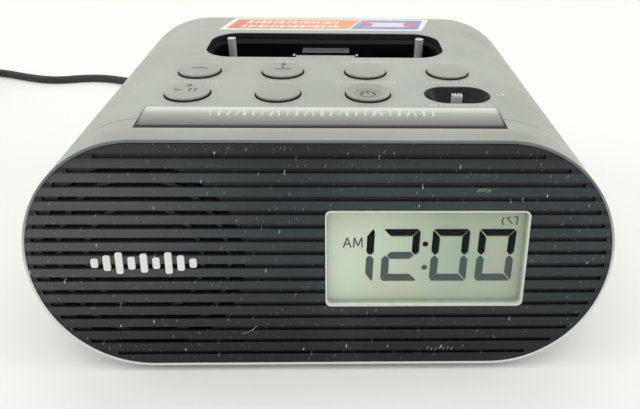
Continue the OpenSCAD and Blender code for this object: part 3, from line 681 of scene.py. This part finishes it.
def add_digits():
    """Four digits, the colon and the small marks, as thin films between the glass and the window, with
    painted shadows of the segments just behind them.
    """
    dark, grey, ghost = Mesher(), Mesher(), Mesher()
    x0s = {"2": 16.2, "0a": 29.85, "0b": 42.6}
    shapes = {"2": "abged", "0a": "abcdef", "0b": "abcdef"}

    def place_from(x0, n0=25.4, slant=0.035, dx=0.0, dn=0.0):
        return lambda u, v, h: on_face(x0 + u + slant * v + dx, n0 + v + dn, h)
    front, back = -2.6 - 0.02, -2.6 - 0.07
    for name, x0 in x0s.items():
        for letter in shapes[name]:
            # painted light: the upper segments are dark and the lower ones a paler grey
            target = dark if letter in "abf" else grey
            target.prism(segment(letter), place_from(x0), back, front)
            # painted shadow: an offset grey copy of the segment just behind it
            ghost.prism(segment(letter), place_from(x0, dx=0.22, dn=-0.3), back - 0.02, back - 0.008)
    # painted light: the upper stroke of the one dark, the lower one a paler grey
    for line, target in zip(one_segments(), (dark, grey)):
        target.prism(line, place_from(11.9), back, front)
        ghost.prism(line, place_from(11.9, dx=0.22, dn=-0.3), back - 0.02, back - 0.008)
    # painted light: the upper dot of the colon dark, the lower one a paler grey
    for n, target in ((36.3, dark), (29.3, grey)):
        dot = rounded(28.4, n, 1.5, 1.4, 0.5, 3)
        target.prism(dot, lambda u, v, h: on_face(u, v, h), back, front)
    strokes = Mesher()
    letters = [(0, 0, 1.05, 2.9), (1.05, 2.9, 2.1, 0), (0.4, 1, 1.7, 1),
               (2.8, 0, 3, 2.9), (3, 2.9, 4, 0.5), (4, 0.5, 5, 2.9), (5, 2.9, 5.2, 0)]
    letters = [(a + 5.85, b + 35.3, c + 5.85, d + 35.3) for a, b, c, d in letters]
    icon = [(0.5, 0, 0, 1.2), (0, 1.2, 0.5, 2.3), (1.3, 2, 2.9, 0.3), (1.3, 2, 2.4, 2.2),
            (4, 0, 4.3, 2.3), (3.2, 2.3, 4.3, 2.3)]
    icon = [(a + 49, b + 41.9, c + 49, d + 41.9) for a, b, c, d in icon]
    for line in letters + icon:
        strokes.prism(bar(*line, 0.34), lambda u, v, h: on_face(u, v, h), back, front)
    dark.piece("lcd_segments_upper", FILMS["dark"], slot="dark_plastic")
    grey.piece("lcd_segments_lower", FILMS["grey"], slot="dark_plastic")
    strokes.piece("lcd_small_marks", FILMS["grey"], slot="dark_plastic")
    ghost.piece("lcd_segment_shadows", FILMS["ghost"], slot="lcd")


def add_window_edge():
    """The polished side walls of the window, painted bright as highlights where they catch the light all
    round the display.
    """
    low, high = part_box("lcd_lens")
    cx = (low.x + high.x) / 2 / MM
    w = (high.x - low.x) / MM
    outer = rounded(cx, FACE_MID, w - 0.06, LCD_H - 0.06, 1.55)
    inner = rounded(cx, FACE_MID, w - 0.9, LCD_H - 0.9, 1.2)
    wall = Mesher().tube_wall(outer, inner, on_face, -2.5, 0.1)
    wall.piece("window_side_walls", FILMS["edge"], slot="window")
    # painted highlight: a thin pale lip round the front of the window
    lip_out = rounded(cx, FACE_MID, w - 0.1, LCD_H - 0.1, 1.55)
    lip_in = rounded(cx, FACE_MID, w - 0.62, LCD_H - 0.62, 1.3)
    lip = Mesher().tube_wall(lip_out, lip_in, on_face, 0.42, 0.56)
    lip.piece("window_lip", FILMS["lip"], slot="window")


# ---------- printed marks ----------

def add_key_prints():
    """Pale wordless dashes round the keys, where their uses would be printed."""
    random.seed(5)
    marks = Mesher()

    def row(cx, y, width, high=0.9):
        x = cx - width / 2
        while x < cx + width / 2 - 0.5:
            w = random.choice((0.55, 0.8, 1.1, 0.7))
            marks.prism(rounded(x + w / 2, y, w, high, 0.2, 2), on_top, 0.0, 0.02)
            x += w + random.choice((0.35, 0.45, 0.9))
    near, far = FRONT_Y + 57.1, FRONT_Y + 76.2
    rows = [(-1.5, near, 15), (-0.5, near, 7), (0.5, near, 19), (1.5, near, 16),
            (-0.5, far, 6), (0.5, far, 16), (1.5, far, 12)]
    for k, y, width in rows:
        row(k * KEY_PITCH, y, width)
    row(1.5 * KEY_PITCH, ROW_FRONT - 8.3, 19, 0.9)
    row(1.5 * KEY_PITCH - 13.2, ROW_FRONT, 2.6, 0.9)
    row(1.5 * KEY_PITCH + 13.2, ROW_FRONT, 2.6, 0.9)
    marks.piece("key_dashes", FILMS["print"], slot="badge")


def snooze_height(y):
    """Height of the snooze bar's rounded top at y."""
    drop = SNOOZE_CROWN_R - math.sqrt(SNOOZE_CROWN_R ** 2 - (y - SNOOZE_CROWN_Y) ** 2)
    return TOP_Z + SNOOZE_CROWN_RISE - drop


def add_snooze_print():
    """A scale of short pale strokes along the snooze bar."""
    marks = Mesher()

    def place(u, v, h):
        return Vector((u, v, snooze_height(v) + h))
    count = 27
    for k in range(count):
        x = -30.5 + 61 * k / (count - 1)
        w = 0.4 + 0.2 * ((k * 5) % 3)
        for step in range(6):
            y0 = FRONT_Y + 29.3 + 0.6 * step
            lean = 0.1 * step * ((k % 4) - 1)
            outline = bar(x + lean, y0, x + lean, y0 + 0.61, w)
            marks.prism(outline, place, 0.0, 0.02)
    marks.piece("snooze_strokes", FILMS["snooze_print"], body="snooze", slot="badge")


def add_label_print():
    """The label's inks: a warm field with pale bars and a blue field with a plain lozenge."""
    y0, y1 = FRONT_Y + 113.9, FRONT_Y + 130.7

    def skewed(s, t):
        """s along the label and t up it, both from 0 to 1, inside its white border."""
        x_left = -42.1 + 4.4 * t
        x_right = 37.7 + 4.9 * t
        return (x_left + (x_right - x_left) * s, y0 + (y1 - y0) * t)

    def place(u, v, h):
        return Vector((u, v, TOP_Z + 0.12 + h))

    def patch(s0, s1, t0, t1, lean=0.0):
        return [skewed(s0, t0), skewed(s1, t0), skewed(s1 + lean, t1), skewed(s0, t1)]
    warm = Mesher().prism(patch(0.028, 0.628, 0.11, 0.89, 0.022), place, 0, 0.02)
    warm.piece("label_warm_ink", INKS["warm"], slot="label")
    blue = [skewed(0.638, 0.11), skewed(0.975, 0.11), skewed(0.972, 0.89), skewed(0.66, 0.89)]
    cold = Mesher().prism(blue, place, 0, 0.02)
    cold.piece("label_cold_ink", INKS["cold"], slot="label")
    random.seed(11)
    pale = Mesher()
    for t0, t1, s_end in ((0.2, 0.43, 0.56), (0.55, 0.8, 0.54)):
        s = 0.09
        while s < s_end:
            w = random.choice((0.012, 0.02, 0.028))
            pale.prism(patch(s, s + w, t0, t1), place, 0.02, 0.032)
            s += w + random.choice((0.007, 0.011))
    pale.piece("label_pale_bars", INKS["white"], slot="label")
    lozenge = Mesher()
    cx, cy = skewed(0.81, 0.5)
    lozenge.prism(rounded(cx, cy, 21, 6.4, 3.1), place, 0.02, 0.03)
    lozenge.piece("label_lozenge", INKS["rose"], slot="label")
    dots = Mesher()
    for side in (-1, 1):
        dots.prism(rounded(cx + side * 8.6, cy, 4.6, 6.0, 2.2), place, 0.03, 0.04)
    dots.piece("label_dots", INKS["coral"], slot="label")


def add_dock_contacts():
    """Gilt contact strips along both faces of the connector's tongue."""
    low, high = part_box("dock_connector")
    mid_y = (low.y + high.y) / 2 / MM
    top = high.z / MM
    strips = Mesher()
    for k in range(15):
        x = -9.1 + 18.2 * k / 14
        for side in (-1, 1):
            y = mid_y + side * 1.42
            corners = [(x - 0.28, y - 0.06), (x + 0.28, y - 0.06), (x + 0.28, y + 0.06), (x - 0.28, y + 0.06)]
            strips.prism(corners, lambda u, v, h: (u, v, h), top - 5.5, top - 0.6)
    strips.piece("dock_contacts", LOOKS["brass"], slot="brass")


def add_scuffs():
    """A few rubs and a curved scratch on the front ribs."""
    marks = Mesher()
    random.seed(3)
    for cx, n, wide in ((42.5, 52.6, 3.2), (33.4, 5.0, 7.0)):
        for k in range(7):
            x = cx + wide * (k / 6 - 0.5)
            y = n + random.uniform(-0.3, 0.3)
            marks.prism(bar(x, y - 0.45, x + 0.4, y + 0.5, 0.16), on_face, 0.0, 0.015)
    arc = [(-22.8 + 4.4 * t, 10.2 + 2.4 * t * t) for t in (0, 0.25, 0.5, 0.75, 1)]
    for (u0, v0), (u1, v1) in zip(arc, arc[1:]):
        marks.prism(bar(u0, v0, u1, v1, 0.14), on_face, 0.0, 0.015)
    marks.piece("front_scuffs", FILMS["scuff"], slot="panel_black")


# ---------- floor and light ----------

def add_floor():
    look = Look("floor", Roughness=0.7)
    look.link("Base Color", look.mixed(look.noise(3, 3), (0.86, 0.86, 0.83, 1), (0.89, 0.89, 0.86, 1)))
    mesh = bpy.data.meshes.new("floor")
    half = 4.0
    corners = [(-half, -half, 0), (half, -half, 0), (half, half, 0), (-half, half, 0)]
    mesh.from_pydata(corners, [], [(0, 1, 2, 3)])
    mesh.materials.append(look.mat)
    floor = bpy.data.objects.new("floor", mesh)
    bpy.context.scene.collection.objects.link(floor)


def add_light(name, place, target, size, power):
    data = bpy.data.lights.new(name, "AREA")
    data.shape = "RECTANGLE"
    data.size, data.size_y = size
    data.energy = power
    lamp = bpy.data.objects.new(name, data)
    lamp.location = place
    lamp.rotation_euler = (Vector(target) - Vector(place)).to_track_quat("-Z", "Y").to_euler()
    bpy.context.scene.collection.objects.link(lamp)


def light_scene():
    world = bpy.data.worlds.new("world")
    bpy.context.scene.world = world
    world.use_nodes = True
    back = world.node_tree.nodes["Background"]
    back.inputs["Color"].default_value = (0.985, 1.0, 0.97, 1)
    back.inputs["Strength"].default_value = 0.8
    add_light("overhead", (0.0, 0.0, 1.1), (0, 0.0, 0), (1.6, 1.2), 4.4)
    add_light("rear", (-0.3, 1.4, 0.7), (0, 0, 0.05), (1.6, 0.9), 1.2)
    add_light("left", (-1.3, 0.1, 0.55), (0, 0, 0.03), (0.8, 0.8), 3.0)
    add_light("right", (1.3, 0.1, 0.55), (0, 0, 0.03), (0.8, 0.8), 3.0)


# ---------- assembly ----------

add_camera()
LOOKS = make_looks()
FILMS = {
    "dark": film("film_dark", srgb(4, 7, 14), 0.7, mottle=0.02, Specular_IOR_Level=0.0),
    "grey": film("film_grey", srgb(82, 93, 96), 0.7, Specular_IOR_Level=0.0),
    # painted shadow of the display segments
    "ghost": film("film_ghost", srgb(120, 132, 118), 0.5, alpha=0.45),
    "edge": edge_look(),
    # painted highlight on the window's lip
    "lip": film("window_lip", srgb(226, 232, 222), 0.2, alpha=0.75),
    "print": film("print_pale", srgb(236, 238, 234), 0.5, alpha=0.62),
    "snooze_print": film("print_snooze", srgb(238, 243, 240), 0.5, alpha=0.5),
    "scuff": film("scuff", srgb(170, 172, 168), 0.6, alpha=0.7),
}
INKS = {
    "warm": label_look("ink_warm", srgb(210, 104, 84), srgb(226, 148, 84), -38, 14).mat,
    "cold": label_look("ink_cold", srgb(104, 142, 206), srgb(96, 120, 190), 12, 44).mat,
    "white": film("ink_white", srgb(232, 206, 186), 0.5),
    "rose": film("ink_rose", srgb(224, 206, 212), 0.5),
    "coral": film("ink_coral", srgb(216, 122, 116), 0.5),
}
dress_cad_nodes()
lead = add_lead()
reliefs = add_reliefs()
add_digits()
add_window_edge()
add_key_prints()
add_snooze_print()
add_label_print()
add_dock_contacts()
add_scuffs()
add_floor()
light_scene()
bpy.context.scene.view_settings.view_transform = "Standard"
